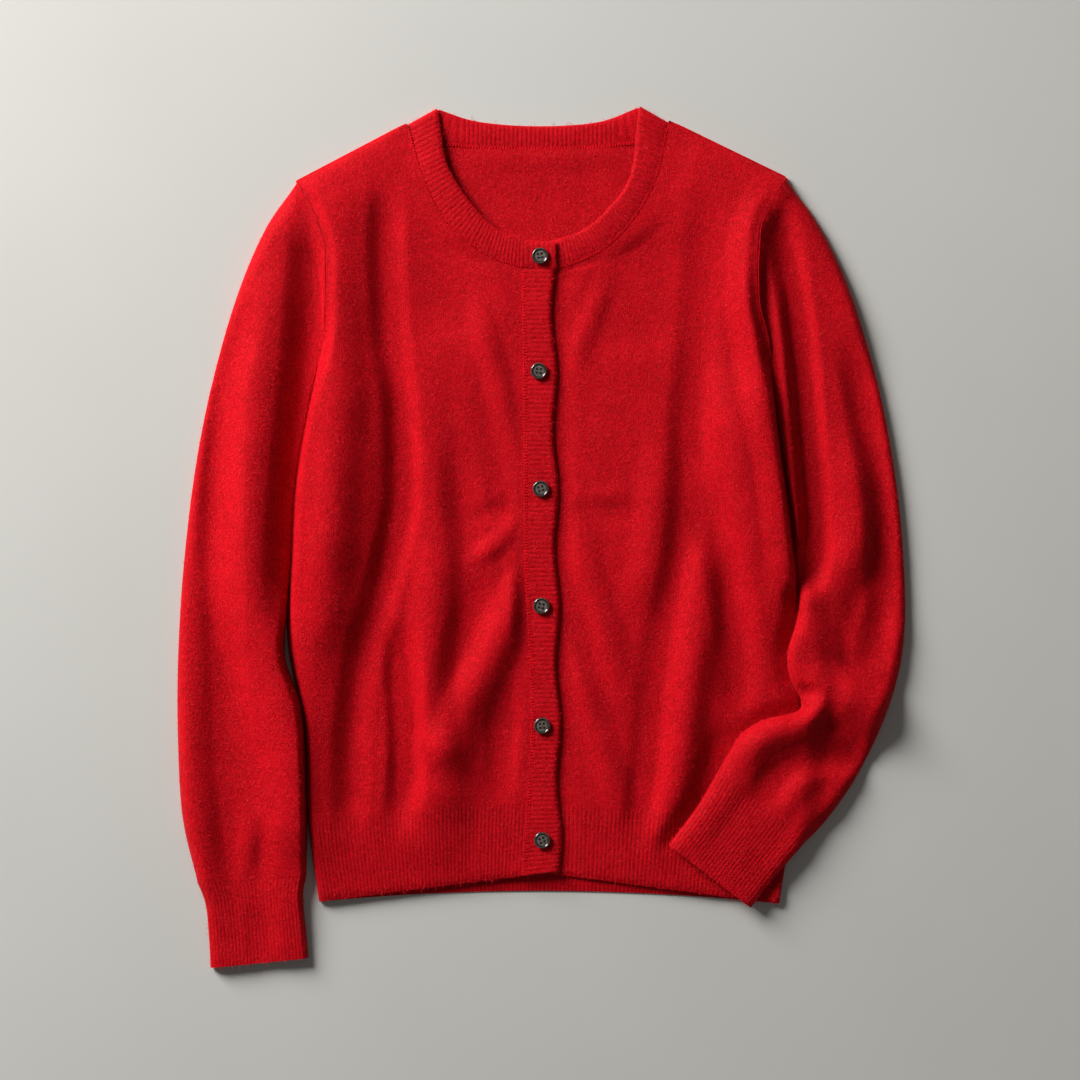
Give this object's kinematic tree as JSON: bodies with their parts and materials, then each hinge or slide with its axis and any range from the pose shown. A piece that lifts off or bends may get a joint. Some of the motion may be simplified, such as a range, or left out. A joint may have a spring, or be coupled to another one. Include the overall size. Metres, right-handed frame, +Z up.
{
  "type": "button cardigan",
  "caption": "Long-sleeved round-neck knitted cardigan laid flat on its back, buttoned down the front, with ribbed neckband, cuffs and hem, and a forearm folded over the lower corner.",
  "frame": {"origin": "middle of the laid-out garment's bounding box, on the surface that it lies on", "axes": "+Z up out of the surface, +Y from the hem towards the neck, +X towards the wearer's left side"},
  "size_m": [0.5452, 0.645, 0.0192],
  "materials": {
    "knit": "soft brushed fine knit, matt with a short fuzz",
    "button": "polished, dark grey"
  },
  "bodies": {
    "root": {"back": "knit", "back_hem_rib": "knit", "right_front": "knit", "left_front": "knit", "right_front_hem_rib": "knit", "left_front_hem_rib": "knit", "right_sleeve": "knit", "left_sleeve": "knit", "right_cuff": "knit", "left_cuff": "knit", "neckband": "knit", "buttonhole_band": "knit", "button_band": "knit", "button_1": "button", "button_2": "button", "button_3": "button", "button_4": "button", "button_5": "button", "button_6": "button"}
  },
  "joints": []
}
